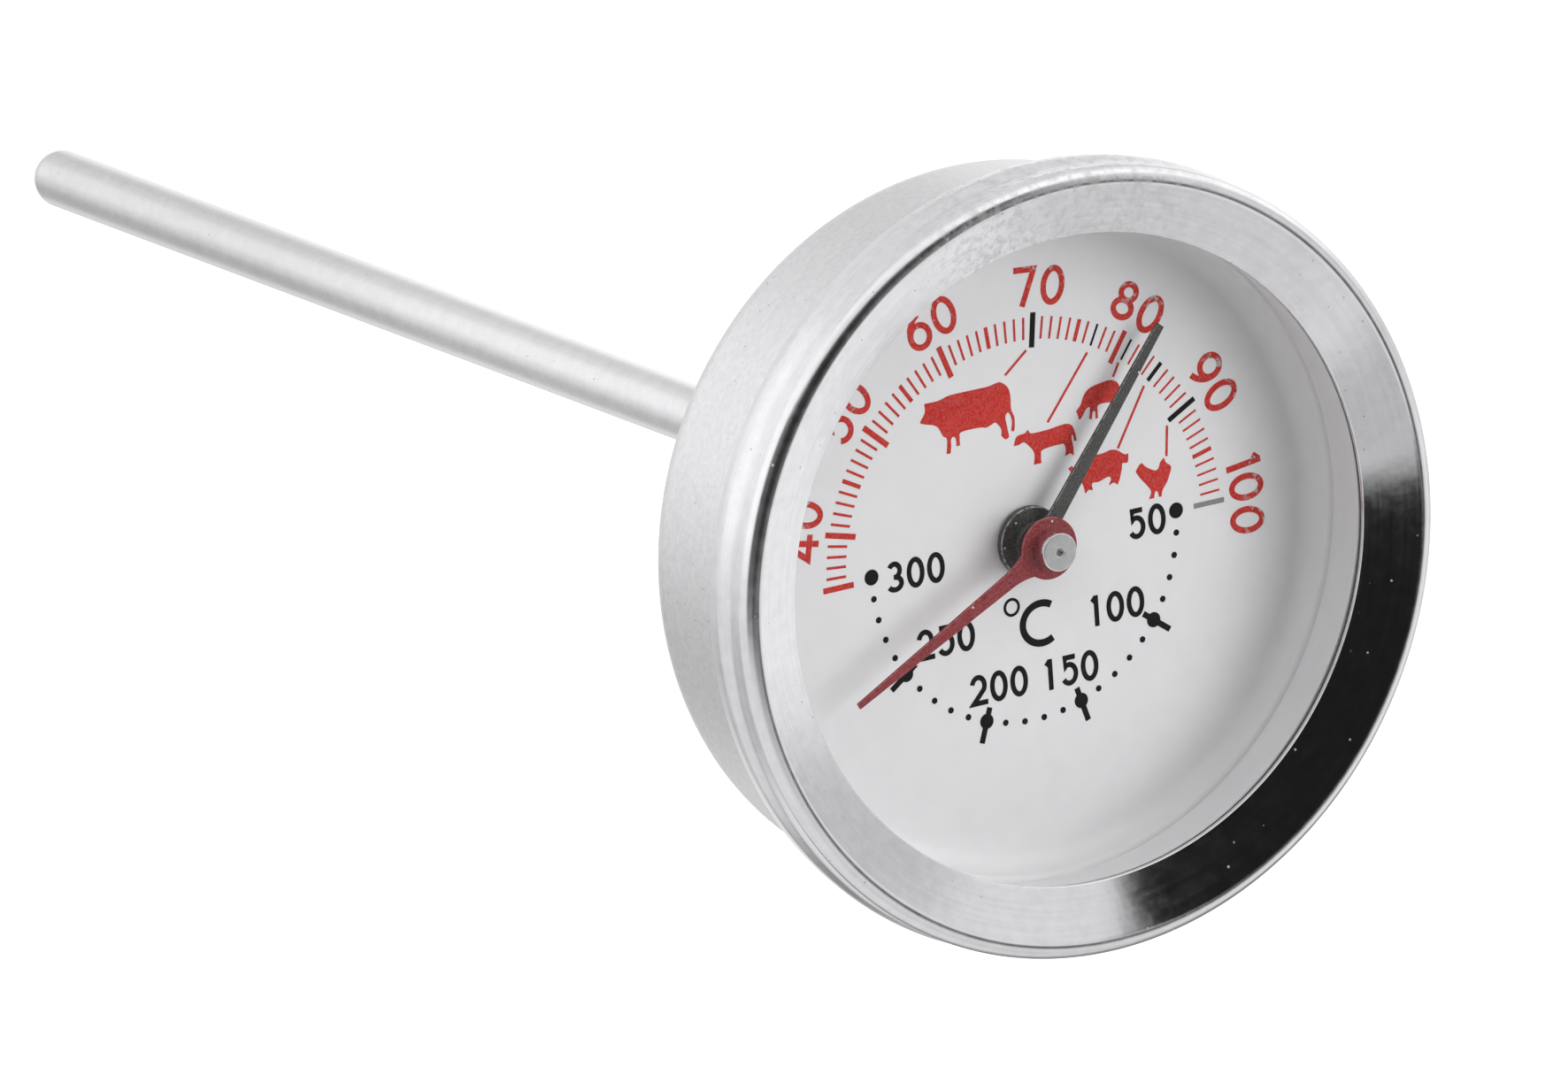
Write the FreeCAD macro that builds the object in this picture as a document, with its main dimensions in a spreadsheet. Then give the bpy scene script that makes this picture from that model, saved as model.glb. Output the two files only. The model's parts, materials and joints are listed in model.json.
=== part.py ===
import FreeCAD, Part

# Meat and oven dial thermometer: a round steel case with a glass window, and a long probe stem.
# A bimetal helix in the stem's tip turns the red pointer through a thin rod; a flat bimetal
# spiral in the case turns the black pointer through a sleeve around that rod.
#
# Millimetres.  The origin is the centre of the case's back, where the stem leaves.  +Y runs
# along the stem to its tip, the dial faces -Y, +Z is the dial's 12 o'clock and +X its 3 o'clock.

import os
import re

import Sketcher
from FreeCAD import Placement, Rotation, Vector

# Driving dimensions.  A name that ends in _y is a place along the axis, measured from the
# case's back; the rest are radii, widths, thicknesses, lengths and angles.
SIZES = {
    # Bezel: a spun steel ring with a rolled outer edge and a flat front that slopes inwards.
    "front_y": -16.0,
    "bezel_radius": 27.5,
    "bezel_skin": 0.5,
    "corner_y": -17.89,
    "roll_radius": 0.95,
    "waist_radius": 27.2,
    "waist_y": -15.0,
    "waist_round": 2.0,
    "lip_radius": 22.52,
    "lip_y": -15.77,
    "slope_skin": 0.545,
    "slope": 0.4257,
    "skirt_radius": 27.5,
    "skirt_top_y": -13.8,
    "skirt_end_radius": 27.25,
    "skirt_end_y": -12.39,
    "skirt_end_round": 0.3,
    "inner_roll_radius": 0.45,
    "small_round": 0.3,
    "edge_round": 0.2,
    # Rear case: a drawn cup whose front flange is gripped by the bezel.
    "cup_radius": 24.98,
    "cup_skin": 0.6,
    "cup_round": 2.8,
    "flange_radius": 26.65,
    "fit_gap": 0.05,
    # Window.
    "glass_radius": 25.6,
    "glass_front_y": -15.1,
    "glass_skin": 1.2,
    "gasket_lip_radius": 22.62,
    "gasket_back_radius": 24.8,
    "gasket_radius": 26.6,
    "gasket_lip_y": -15.24,
    "gasket_front_y": -16.3,
    # Dial: a shallow dish whose brim is clamped between two rings.
    "dial_front_y": -8.93,
    "dial_skin": 0.4,
    "dial_floor_radius": 22.6,
    "dial_rim_radius": 22.9,
    "brim_y": -10.7,
    "dial_hole_radius": 1.05,
    "dial_round": 1.4,
    "brim_round": 0.45,
    "ring_radius": 24.3,
    "ring_skin": 0.8,
    "ring_end_y": -2.9,
    # Movement bracket, its bridge and the bridge's screws.
    "bracket_skin": 0.6,
    "bracket_width": 7.0,
    "bracket_half_length": 15.6,
    "bracket_front_y": -7.0,
    "bracket_round": 0.5,
    "tab_reach": 4.0,
    "bridge_skin": 0.7,
    "bridge_width": 6.0,
    "screw_place": 13.3,
    "screw_radius": 0.6,
    "screw_gap": 0.02,
    "screw_end_y": -5.9,
    "head_radius": 1.1,
    "head_height": 0.5,
    "bearing_gap": 0.07,
    # Oven movement: sleeve, arbor, spiral and the post that holds the spiral's outer end.
    "sleeve_radius": 0.85,
    "sleeve_bore": 0.52,
    "sleeve_front_y": -10.75,
    "sleeve_end_y": -2.7,
    "arbor_radius": 1.5,
    "arbor_front_y": -6.1,
    "arbor_end_y": -2.8,
    "spiral_start": 1.67,
    "spiral_end": 10.35,
    "spiral_turns": 5,
    "spiral_strip": 0.3,
    "spiral_width": 3.0,
    "spiral_end_y": -2.9,
    "post_radius": 0.7,
    "post_place": 11.2,
    # Oven pointer and its hub.
    "oven_hub_radius": 2.45,
    "oven_hub_end_y": -9.05,
    "oven_hub_skin": 0.55,
    "oven_boss_radius": 1.3,
    "oven_pointer_y": -10.4,
    "oven_ring_radius": 1.7,
    "oven_pointer_length": 17.04,
    "oven_root_width": 1.15,
    "oven_tip_width": 0.62,
    "oven_rest_angle": 38.8,
    "pointer_skin": 0.25,
    # Meat movement: pointer, bush, rod, helix and the helix's two ends.
    "meat_pointer_y": -11.6,
    "meat_ring_radius": 2.16,
    "meat_pointer_length": 17.6,
    "meat_root_width": 1.1,
    "meat_tip_width": 0.42,
    "meat_rest_angle": 243.5,
    "bush_radius": 1.33,
    "bush_front_y": -13.2,
    "bush_hole_radius": 0.28,
    "bush_spigot_radius": 0.9,
    "bush_end_y": -11.3,
    "rod_radius": 0.45,
    "rod_front_y": -12.9,
    "rod_end_y": 88.0,
    "helix_hub_radius": 1.15,
    "helix_hub_length": 3.0,
    "helix_radius": 1.2,
    "helix_strip": 0.12,
    "helix_width": 0.9,
    "helix_pitch": 1.3,
    "helix_length": 24.7,
    "helix_gap": 0.05,
    "anchor_radius": 1.64,
    "anchor_length": 3.0,
    "guide_radius": 1.64,
    "guide_bore": 0.5,
    "guide_length": 3.0,
    "front_guide_y": 4.0,
    "tip_guide_y": 79.0,
    # Stem and what fastens it to the case.
    "stem_radius": 2.0,
    "stem_root_radius": 1.84,
    "stem_bore": 1.65,
    "stem_front_y": -2.6,
    "stem_straight_y": 119.2,
    "collar_radius": 4.2,
    "collar_height": 0.7,
    "neck_radius": 2.95,
    "stem_hole_radius": 3.0,
    "washer_radius": 4.6,
    "washer_skin": 0.4,
    "nut_corner_radius": 4.62,
    "nut_bore": 2.97,
}

document = FreeCAD.newDocument("MeatThermometer")
sheet = document.addObject("Spreadsheet::Sheet", "Dimensions")
SCRATCH_CELL = "D1"
TURN_TO_AXIS = Rotation(Vector(1, 0, 0), -90)


def fill_sheet():
    """Write every driving dimension to the sheet, under its own name."""
    for row, (name, value) in enumerate(SIZES.items(), start=1):
        sheet.set("A%d" % row, name)
        sheet.set("B%d" % row, str(value))
        sheet.setAlias("B%d" % row, name)
    document.recompute()


def number(formula):
    """Let the sheet work out a formula of its own names."""
    sheet.set(SCRATCH_CELL, "=" + formula)
    sheet.recompute()
    return float(sheet.get(SCRATCH_CELL))


def bound(formula):
    """The same formula as another object of the document writes it."""
    return re.sub(r"[a-z]\w*", lambda word: "Dimensions." + word[0], formula)


# Sketches -----------------------------------------------------------------------------------

def sketch_on(owner, plane, name, offset="0"):
    """Start a sketch on a plane of the body's own origin, moved along the plane's normal."""
    drawing = owner.newObject("Sketcher::SketchObject", name)
    support = next(part for part in owner.Origin.OriginFeatures if part.Role == plane)
    drawing.AttachmentSupport = [(support, "")]
    drawing.MapMode = "FlatFace"
    drawing.setExpression("AttachmentOffset.Base.z", bound(offset))
    return drawing


def sketch_across(owner, name, place):
    """Start a sketch square to the axis: its normal is -Y, its X and Y are the frame's X and Z."""
    return sketch_on(owner, "XZ_Plane", name, "-(%s)" % place)


def dimension(drawing, kind, references, formula):
    """Add one dimension and bind it to its formula."""
    index = drawing.addConstraint(Sketcher.Constraint(kind, *references, number(formula)))
    drawing.setExpression("Constraints[%d]" % index, bound(formula))


def draw_outline(drawing, corners):
    """Draw a closed outline and dimension each corner, given as two formulas, from the origin."""
    places = [Vector(number(across), number(along), 0) for across, along in corners]
    first = drawing.GeometryCount
    for start, end in zip(places, places[1:] + places[:1]):
        drawing.addGeometry(Part.LineSegment(start, end))
    for index in range(len(corners)):
        following = first + (index + 1) % len(corners)
        drawing.addConstraint(Sketcher.Constraint("Coincident", first + index, 2, following, 1))
    for index, (across, along) in enumerate(corners, start=first):
        dimension(drawing, "DistanceX", (-1, 1, index, 1), across)
        dimension(drawing, "DistanceY", (-1, 1, index, 1), along)


def draw_circle(drawing, across, along, radius):
    """Draw a circle and dimension its centre and its radius."""
    centre = Vector(number(across), number(along), 0)
    index = drawing.addGeometry(Part.Circle(centre, Vector(0, 0, 1), number(radius)))
    dimension(drawing, "DistanceX", (-1, 1, index, 3), across)
    dimension(drawing, "DistanceY", (-1, 1, index, 3), along)
    dimension(drawing, "Radius", (index,), radius)


# Features -----------------------------------------------------------------------------------

def new_body(label):
    owner = document.addObject("PartDesign::Body", label)
    owner.Label = label
    return owner


def pad(owner, drawing, length, midplane=False):
    """Add material along the sketch's normal, or half to each side of it."""
    feature = owner.newObject("PartDesign::Pad", drawing.Name + "_pad")
    feature.Profile = drawing
    feature.SideType = "Symmetric" if midplane else "One side"
    feature.setExpression("Length", bound(length))
    drawing.Visibility = False
    document.recompute()


def pocket(owner, drawing, depth):
    """Remove material against the sketch's normal, and make sure that it did."""
    before = owner.Shape.Volume
    feature = owner.newObject("PartDesign::Pocket", drawing.Name + "_pocket")
    feature.Profile = drawing
    feature.setExpression("Length", bound(depth))
    document.recompute()
    if owner.Shape.Volume > before - 1e-6:
        raise RuntimeError(drawing.Name + " cuts nothing")


def round_edges(owner, radius, names):
    """Round the named edges of the body's last feature."""
    base = owner.Tip
    feature = owner.newObject("PartDesign::Fillet", "%s_round_%d" % (owner.Name, len(owner.Group)))
    feature.Base = (base, names)
    feature.Radius = number(radius)
    feature.setExpression("Radius", bound(radius))
    document.recompute()


def rims_at(shape, corners):
    """Names of the circular edges at the given corners of a turned piece."""
    places = [(number(radius), number(along)) for radius, along in corners]
    names = []
    for index, edge in enumerate(shape.Edges, start=1):
        if edge.Curve.TypeId != "Part::GeomCircle":
            continue
        for radius, along in places:
            if abs(edge.Curve.Radius - radius) < 1e-3 and abs(edge.Curve.Center.y - along) < 1e-3:
                names.append("Edge%d" % index)
    if len(names) != len(places):
        raise RuntimeError("found %d of %d rims" % (len(names), len(places)))
    return names


def bends_at(shape, corners):
    """Names of the edges along Z at the given corners of a bent strip."""
    places = [(number(across), number(along)) for across, along in corners]
    names = []
    for index, edge in enumerate(shape.Edges, start=1):
        middle = edge.CenterOfMass
        straight = edge.BoundBox.XLength + edge.BoundBox.YLength < 1e-3
        for across, along in places:
            if straight and abs(middle.x - across) < 1e-3 and abs(middle.y - along) < 1e-3:
                names.append("Edge%d" % index)
    if len(names) != len(places):
        raise RuntimeError("found %d of %d bends" % (len(names), len(places)))
    return names


def turned(label, corners, rounds=()):
    """A piece turned about the axis from an outline of (radius, along) corners.

    rounds holds (rounding radius, corners to round) pairs, done in order.
    """
    owner = new_body(label)
    drawing = sketch_on(owner, "XY_Plane", label + "_outline")
    draw_outline(drawing, corners)
    feature = owner.newObject("PartDesign::Revolution", label + "_turn")
    feature.Profile = drawing
    feature.ReferenceAxis = (drawing, ["V_Axis"])
    feature.Angle = 360
    document.recompute()
    for radius, rims in rounds:
        round_edges(owner, radius, rims_at(owner.Tip.Shape, rims))
    return owner


def tube(label, bore, radius, front, end):
    """A plain tube or ring between two places along the axis."""
    corners = [(bore, front), (radius, front), (radius, end), (bore, end)]
    return turned(label, corners)


def cylinder(label, radius, length, across, along):
    """A plain round pin along +Y, as a Part primitive."""
    pin = document.addObject("Part::Cylinder", label)
    pin.Label = label
    pin.Placement = Placement(Vector(0, 0, 0), TURN_TO_AXIS)
    pin.setExpression("Radius", bound(radius))
    pin.setExpression("Height", bound(length))
    pin.setExpression("Placement.Base.x", bound(across))
    pin.setExpression("Placement.Base.y", bound(along))
    return pin


def joined(kind, label, base, tool):
    """A Part boolean of two objects: Part::Cut or Part::Fuse."""
    result = document.addObject(kind, label)
    result.Label = label
    result.Base = base
    result.Tool = tool
    return result


# Case ---------------------------------------------------------------------------------------

def bezel_ring():
    """Spun ring: sloping front, rolled edge, skirt, and an end crimped under the cup's flange."""
    front_corner = ("bezel_radius", "corner_y")
    waist = ("waist_radius", "waist_y")
    skirt_top = ("skirt_radius", "skirt_top_y")
    skirt_end = ("skirt_end_radius", "skirt_end_y")
    lip = ("lip_radius", "lip_y")
    lip_back = ("lip_radius", "lip_y + slope_skin")
    inner_corner = ("bezel_radius - bezel_skin", "corner_y + slope * bezel_skin + slope_skin")
    corners = [
        lip,
        front_corner,
        waist,
        skirt_top,
        skirt_end,
        ("cup_radius + fit_gap", "skirt_end_y"),
        ("cup_radius + fit_gap", "skirt_end_y - bezel_skin"),
        ("skirt_end_radius - bezel_skin", "skirt_end_y - bezel_skin"),
        ("skirt_radius - bezel_skin", "skirt_top_y"),
        ("waist_radius - bezel_skin", "waist_y"),
        inner_corner,
        lip_back,
    ]
    rounds = [
        ("roll_radius", [front_corner]),
        ("inner_roll_radius", [inner_corner]),
        ("waist_round", [waist, skirt_top]),
        ("skirt_end_round", [skirt_end]),
        ("edge_round", [lip, lip_back]),
    ]
    return turned("bezel_ring", corners, rounds)


def rear_case():
    """Drawn cup with a rounded back edge, a hole for the stem and a flange at its mouth."""
    flange_y = "skirt_end_y - bezel_skin"
    back_edge = ("cup_radius", "0")
    inner_edge = ("cup_radius - cup_skin", "-cup_skin")
    corners = [
        ("stem_hole_radius", "0"),
        back_edge,
        ("cup_radius", flange_y),
        ("flange_radius", flange_y),
        ("flange_radius", flange_y + " - cup_skin"),
        ("cup_radius - cup_skin", flange_y + " - cup_skin"),
        inner_edge,
        ("stem_hole_radius", "-cup_skin"),
    ]
    rounds = [("cup_round", [back_edge]), ("cup_round - cup_skin", [inner_edge])]
    return turned("rear_case", corners, rounds)


def glass_lens():
    """Flat round window with its two edges eased."""
    end = "glass_front_y + glass_skin"
    owner = new_body("glass_lens")
    drawing = sketch_across(owner, "glass_lens_outline", end)
    draw_circle(drawing, "0", "0", "glass_radius")
    pad(owner, drawing, "glass_skin")
    rims = [("glass_radius", "glass_front_y"), ("glass_radius", end)]
    round_edges(owner, "edge_round", rims_at(owner.Tip.Shape, rims))
    return owner


def lens_gasket():
    """U-section gasket round the window's edge, between the bezel and the cup's flange."""
    glass_end = "glass_front_y + glass_skin"
    flange_front = "skirt_end_y - bezel_skin - cup_skin"
    return turned("lens_gasket", [
        ("gasket_lip_radius", "glass_front_y"),
        ("gasket_lip_radius", "gasket_lip_y"),
        ("gasket_radius", "gasket_front_y"),
        ("gasket_radius", flange_front),
        ("gasket_back_radius", flange_front),
        ("gasket_back_radius", glass_end),
        ("glass_radius", glass_end),
        ("glass_radius", "glass_front_y"),
    ])


def spacer_ring():
    """Ring that keeps the window off the dial's brim; its bore is the wall seen round the dial."""
    front = "glass_front_y + glass_skin"
    return tube("spacer_ring", "ring_radius - ring_skin", "ring_radius", front, "brim_y")


def dial_plate():
    """Dished dial: flat floor, short wall, and a brim clamped between the two rings."""
    floor_edge = ("dial_floor_radius", "dial_front_y")
    floor_back = ("dial_floor_radius + dial_skin", "dial_front_y + dial_skin")
    brim_edge = ("dial_rim_radius", "brim_y")
    corners = [
        ("dial_hole_radius", "dial_front_y"),
        floor_edge,
        brim_edge,
        ("ring_radius", "brim_y"),
        ("ring_radius", "brim_y + dial_skin"),
        ("dial_rim_radius + dial_skin", "brim_y + dial_skin"),
        floor_back,
        ("dial_hole_radius", "dial_front_y + dial_skin"),
    ]
    rounds = [
        ("dial_round", [floor_edge]),
        ("dial_round + dial_skin", [floor_back]),
        ("brim_round", [brim_edge]),
    ]
    return turned("dial_plate", corners, rounds)


def movement_ring():
    """Ring that carries the dial's brim on the cup's rounded floor edge."""
    front = "brim_y + dial_skin"
    return tube("movement_ring", "ring_radius - ring_skin", "ring_radius", front, "ring_end_y")


# Movement bracket ---------------------------------------------------------------------------

def movement_bracket():
    """Strip bent into a U: its base is clamped to the cup's floor, its tabs carry the bridge."""
    outer = "bracket_half_length"
    inner = "bracket_half_length - bracket_skin"
    tab_end = "bracket_half_length - tab_reach"
    floor = "-cup_skin"
    base_top = "-cup_skin - bracket_skin"
    front = "bracket_front_y"
    tab_back = "bracket_front_y + bracket_skin"
    right = [
        (outer, floor),
        (outer, front),
        (tab_end, front),
        (tab_end, tab_back),
        (inner, tab_back),
        (inner, base_top),
    ]
    left = [("-(%s)" % across, along) for across, along in reversed(right)]
    owner = new_body("movement_bracket")
    drawing = sketch_on(owner, "XY_Plane", "movement_bracket_outline")
    draw_outline(drawing, right + left)
    pad(owner, drawing, "bracket_width", midplane=True)
    bends = [right[0], right[1], left[-1], left[-2]]
    round_edges(owner, "bracket_round", bends_at(owner.Tip.Shape, bends))
    stem_hole = sketch_across(owner, "bracket_stem_hole", base_top)
    draw_circle(stem_hole, "0", "0", "stem_hole_radius")
    pocket(owner, stem_hole, "bracket_skin")
    screw_holes = sketch_across(owner, "bracket_screw_holes", front)
    for side in ("screw_place", "-screw_place"):
        draw_circle(screw_holes, side, "0", "screw_radius + screw_gap")
    pocket(owner, screw_holes, "bracket_skin")
    return owner


def bridge_plate():
    """Flat strip across the bracket's tabs, with the sleeve's front bearing at its centre."""
    half_length = "bracket_half_length"
    half_width = "bridge_width / 2"
    owner = new_body("bridge_plate")
    drawing = sketch_across(owner, "bridge_plate_outline", "bracket_front_y")
    draw_outline(drawing, [
        ("-" + half_length, "-" + half_width),
        (half_length, "-" + half_width),
        (half_length, half_width),
        ("-" + half_length, half_width),
    ])
    draw_circle(drawing, "0", "0", "sleeve_radius + bearing_gap")
    for side in ("screw_place", "-screw_place"):
        draw_circle(drawing, side, "0", "screw_radius + screw_gap")
    pad(owner, drawing, "bridge_skin")
    return owner


def bridge_screw(label, side):
    """Small pan-head screw through the bridge and one of the bracket's tabs."""
    head_y = "bracket_front_y - bridge_skin - head_height"
    shank_y = "bracket_front_y - bridge_skin"
    shank = cylinder(label + "_shank", "screw_radius", "screw_end_y - (%s)" % shank_y, side, shank_y)
    head = cylinder(label + "_head", "head_radius", "head_height", side, head_y)
    whole = joined("Part::Fuse", label + "_blank", shank, head)
    slot = document.addObject("Part::Box", label + "_slot")
    slot.setExpression("Length", bound("2 * head_radius + 2"))
    slot.setExpression("Width", bound("head_height / 2"))
    slot.setExpression("Height", bound("screw_radius / 2"))
    slot.setExpression("Placement.Base.x", bound("%s - head_radius - 1" % side))
    slot.setExpression("Placement.Base.y", bound(head_y))
    slot.setExpression("Placement.Base.z", bound("-screw_radius / 4"))
    return joined("Part::Cut", label, whole, slot)


# Oven movement ------------------------------------------------------------------------------

def oven_bimetal():
    """Flat spiral of bimetal strip, from just outside the arbor to the post."""
    spiral = document.addObject("Part::Spiral", "oven_bimetal_path")
    spiral.setExpression("Radius", bound("spiral_start"))
    spiral.setExpression("Growth", bound("(spiral_end - spiral_start) / spiral_turns"))
    spiral.setExpression("Rotations", bound("spiral_turns"))
    section = document.addObject("Part::Plane", "oven_bimetal_section")
    section.setExpression("Length", bound("spiral_strip"))
    section.setExpression("Width", bound("spiral_width"))
    section.Placement = Placement(Vector(0, 0, 0), Rotation(Vector(1, 0, 0), 90))
    section.setExpression("Placement.Base.x", bound("spiral_start - spiral_strip / 2"))
    document.recompute()
    strip = document.addObject("Part::Sweep", "oven_bimetal")
    strip.Label = "oven_bimetal"
    strip.Sections = [section]
    strip.Spine = (spiral, ["Edge%d" % (i + 1) for i in range(len(spiral.Shape.Edges))])
    strip.Solid = True
    strip.Frenet = True
    strip.Placement = Placement(Vector(0, 0, 0), TURN_TO_AXIS)
    strip.setExpression("Placement.Base.y", bound("spiral_end_y - spiral_width"))
    return strip


def oven_sleeve():
    """Thin tube round the rod that carries the black pointer."""
    return tube("oven_sleeve", "sleeve_bore", "sleeve_radius", "sleeve_front_y", "sleeve_end_y")


def spiral_arbor():
    """Hub on the sleeve that the spiral's inner end turns."""
    return tube("spiral_arbor", "sleeve_radius", "arbor_radius", "arbor_front_y", "arbor_end_y")


def spiral_post():
    """Pin on the bracket's base that holds the spiral's outer end."""
    foot = "-cup_skin - bracket_skin"
    return cylinder("spiral_post", "post_radius", "%s - arbor_front_y" % foot,
                    "post_place", "arbor_front_y")


def oven_hub():
    """Black disc close to the dial with a boss that carries the black pointer."""
    disc_front = "oven_hub_end_y - oven_hub_skin"
    return turned("oven_hub", [
        ("sleeve_radius", "oven_pointer_y"),
        ("oven_boss_radius", "oven_pointer_y"),
        ("oven_boss_radius", disc_front),
        ("oven_hub_radius", disc_front),
        ("oven_hub_radius", "oven_hub_end_y"),
        ("sleeve_radius", "oven_hub_end_y"),
    ])


def pointer(label, place, ring, bore, length, root_width, tip_width, rest_angle):
    """Flat pointer: a ring and a tapered blade, drawn at 12 o'clock and turned to its rest."""
    owner = new_body(label)
    disc = sketch_across(owner, label + "_ring", place)
    draw_circle(disc, "0", "0", ring)
    pad(owner, disc, "pointer_skin")
    blade = sketch_across(owner, label + "_blade", place)
    draw_outline(blade, [
        ("-(%s) / 2" % root_width, "0"),
        ("%s / 2" % root_width, "0"),
        ("%s / 2" % tip_width, length),
        ("-(%s) / 2" % tip_width, length),
    ])
    pad(owner, blade, "pointer_skin")
    hole = sketch_across(owner, label + "_hole", place + " - pointer_skin")
    draw_circle(hole, "0", "0", bore)
    pocket(owner, hole, "pointer_skin")
    owner.Placement = Placement(Vector(0, 0, 0), Rotation(Vector(0, 1, 0), number(rest_angle)))
    owner.setExpression("Placement.Rotation.Angle", bound(rest_angle))
    return owner


# Meat movement ------------------------------------------------------------------------------

def pointer_bush():
    """Turned bush on the rod's front end: a face, a spigot for the pointer and a centre hole."""
    shoulder_y = "meat_pointer_y - pointer_skin"
    return turned("pointer_bush", [
        ("bush_hole_radius", "bush_front_y"),
        ("bush_radius", "bush_front_y"),
        ("bush_radius", shoulder_y),
        ("bush_spigot_radius", shoulder_y),
        ("bush_spigot_radius", "bush_end_y"),
        ("rod_radius", "bush_end_y"),
        ("rod_radius", "rod_front_y"),
        ("bush_hole_radius", "rod_front_y"),
    ])


def meat_rod():
    """Thin rod from the red pointer through the sleeve and the stem to the helix."""
    return cylinder("meat_rod", "rod_radius", "rod_end_y - rod_front_y", "0", "rod_front_y")


def helix_hub():
    """Bush on the rod's far end that the helix turns."""
    front = "rod_end_y - helix_hub_length"
    return tube("helix_hub", "rod_radius", "helix_hub_radius", front, "rod_end_y")


def meat_bimetal():
    """Helix of bimetal strip in the probe's tip, from the rod's hub to the anchor."""
    start = "rod_end_y + helix_gap"
    owner = new_body("meat_bimetal")
    section = sketch_on(owner, "XY_Plane", "meat_bimetal_section")
    draw_outline(section, [
        ("helix_radius - helix_strip / 2", start),
        ("helix_radius + helix_strip / 2", start),
        ("helix_radius + helix_strip / 2", start + " + helix_width"),
        ("helix_radius - helix_strip / 2", start + " + helix_width"),
    ])
    coil = owner.newObject("PartDesign::AdditiveHelix", "meat_bimetal_coil")
    coil.Profile = section
    coil.ReferenceAxis = (section, ["V_Axis"])
    coil.Mode = 0
    coil.setExpression("Pitch", bound("helix_pitch"))
    coil.setExpression("Height", bound("helix_length"))
    document.recompute()
    return owner


def helix_anchor():
    """Plug fixed in the tube that holds the helix's far end."""
    start = "rod_end_y + 2 * helix_gap + helix_length + helix_width"
    return cylinder("helix_anchor", "anchor_radius", "anchor_length", "0", start)


def shaft_guide(label, place):
    """Ring in the stem that the rod turns in."""
    return tube(label, "guide_bore", "guide_radius", place, place + " + guide_length")


# Stem ---------------------------------------------------------------------------------------

def capped_pin(label, radius, start):
    """Cylinder along the stem, closed by a half ball where the stem's straight part ends."""
    straight = cylinder(label + "_straight", radius, "stem_straight_y - (%s)" % start, "0", start)
    cap = document.addObject("Part::Sphere", label + "_cap")
    cap.setExpression("Radius", bound(radius))
    cap.setExpression("Placement.Base.y", bound("stem_straight_y"))
    return joined("Part::Fuse", label, straight, cap)


def stem_tube():
    """Steel probe tube with a closed round tip and a thinner root that sits in the collar."""
    skin = capped_pin("stem_tube_outside", "stem_radius", "collar_height")
    root = cylinder("stem_tube_root", "stem_root_radius", "collar_height - stem_front_y + edge_round",
                    "0", "stem_front_y")
    whole = joined("Part::Fuse", "stem_tube_blank", skin, root)
    bore = capped_pin("stem_tube_inside", "stem_bore", "stem_front_y")
    return joined("Part::Cut", "stem_tube", whole, bore)


def stem_collar():
    """Turned collar on the stem: a flange behind the case and a neck through its floor."""
    outer_edge = ("collar_radius", "collar_height")
    corners = [
        ("stem_root_radius", "stem_front_y"),
        ("neck_radius", "stem_front_y"),
        ("neck_radius", "0"),
        ("collar_radius", "0"),
        outer_edge,
        ("stem_root_radius", "collar_height"),
    ]
    return turned("stem_collar", corners, [("small_round", [outer_edge])])


def lock_washer():
    """Washer between the bracket's base and the nut."""
    start = "-cup_skin - bracket_skin - washer_skin"
    return tube("lock_washer", "stem_hole_radius", "washer_radius",
                start, "-cup_skin - bracket_skin")


def stem_nut():
    """Hexagon nut on the collar's neck."""
    start = "stem_front_y"
    thickness = "-cup_skin - bracket_skin - washer_skin - stem_front_y"
    blank = document.addObject("Part::Prism", "stem_nut_blank")
    blank.Polygon = 6
    blank.Placement = Placement(Vector(0, 0, 0), TURN_TO_AXIS)
    blank.setExpression("Circumradius", bound("nut_corner_radius"))
    blank.setExpression("Height", bound(thickness))
    blank.setExpression("Placement.Base.y", bound(start))
    bore = cylinder("stem_nut_bore", "nut_bore", thickness, "0", start)
    return joined("Part::Cut", "stem_nut", blank, bore)


def build_parts():
    """Every sub-part, in the order of the assembly from the front."""
    return [
        bezel_ring(),
        glass_lens(),
        lens_gasket(),
        spacer_ring(),
        pointer_bush(),
        pointer("meat_pointer", "meat_pointer_y", "meat_ring_radius", "bush_spigot_radius",
                "meat_pointer_length", "meat_root_width", "meat_tip_width", "meat_rest_angle"),
        pointer("oven_pointer", "oven_pointer_y", "oven_ring_radius", "sleeve_radius",
                "oven_pointer_length", "oven_root_width", "oven_tip_width", "oven_rest_angle"),
        oven_hub(),
        dial_plate(),
        oven_sleeve(),
        bridge_screw("bridge_screw_right", "screw_place"),
        bridge_screw("bridge_screw_left", "-screw_place"),
        bridge_plate(),
        movement_bracket(),
        movement_ring(),
        oven_bimetal(),
        spiral_arbor(),
        spiral_post(),
        rear_case(),
        stem_nut(),
        lock_washer(),
        stem_collar(),
        stem_tube(),
        meat_rod(),
        shaft_guide("front_guide", "front_guide_y"),
        shaft_guide("tip_guide", "tip_guide_y"),
        helix_hub(),
        meat_bimetal(),
        helix_anchor(),
    ]


def check_document(parts):
    """Stop if any object failed or any sub-part has no sound shape."""
    failed = [item.Name for item in document.Objects
              if "Invalid" in item.State or "Error" in item.State]
    unsound = [part.Label for part in parts if part.Shape.isNull() or not part.Shape.isValid()]
    if failed or unsound:
        raise RuntimeError("failed: %s, unsound: %s" % (failed, unsound))


def write_parts(parts):
    """Write each sub-part to its own STEP file."""
    os.makedirs("parts", exist_ok=True)
    for part in parts:
        part.Shape.exportStep("parts/%s.step" % part.Label)
        print("%-20s %9.3f mm3, solids %d" % (part.Label, part.Shape.Volume, len(part.Shape.Solids)))


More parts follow.
